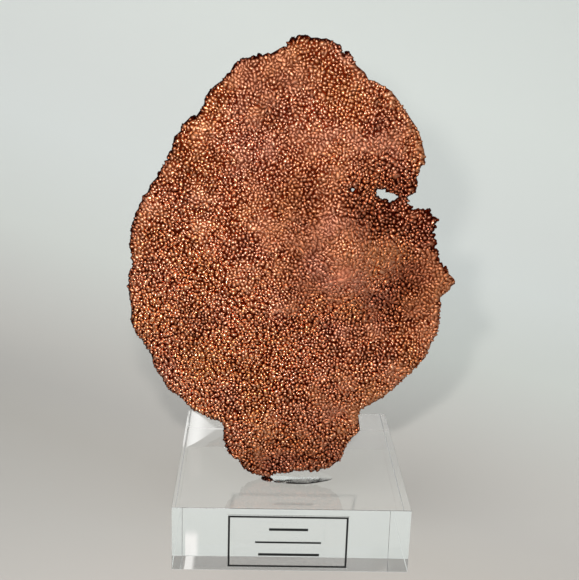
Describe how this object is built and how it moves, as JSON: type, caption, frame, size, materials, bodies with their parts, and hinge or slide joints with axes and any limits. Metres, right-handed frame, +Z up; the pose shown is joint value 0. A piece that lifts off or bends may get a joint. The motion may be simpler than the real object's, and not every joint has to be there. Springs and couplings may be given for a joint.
{
  "type": "native copper nugget",
  "caption": "Thin upright sheet of native copper covered in small rounded grains, bedded by its foot in clear gel on a square clear block with a bordered clear label.",
  "frame": {"origin": "centre of the clear block's underside", "axes": "+Z up through the block and the standing sheet; the sheet's broad grainy face and the labelled face of the block look towards -Y; +X to the right seen from the front"},
  "size_m": [0.0818, 0.0602, 0.1316],
  "materials": {
    "copper": "warm brown copper, satin grains with dark gaps between them",
    "clear_acrylic": "water-clear, polished faces",
    "clear_gel": "clear, soft gloss",
    "clear_film": "clear film with a thin black printed border"
  },
  "bodies": {
    "root": {"copper_sheet": "copper", "base_block": "clear_acrylic", "gel_pad": "clear_gel", "label_film": "clear_film"}
  },
  "joints": []
}
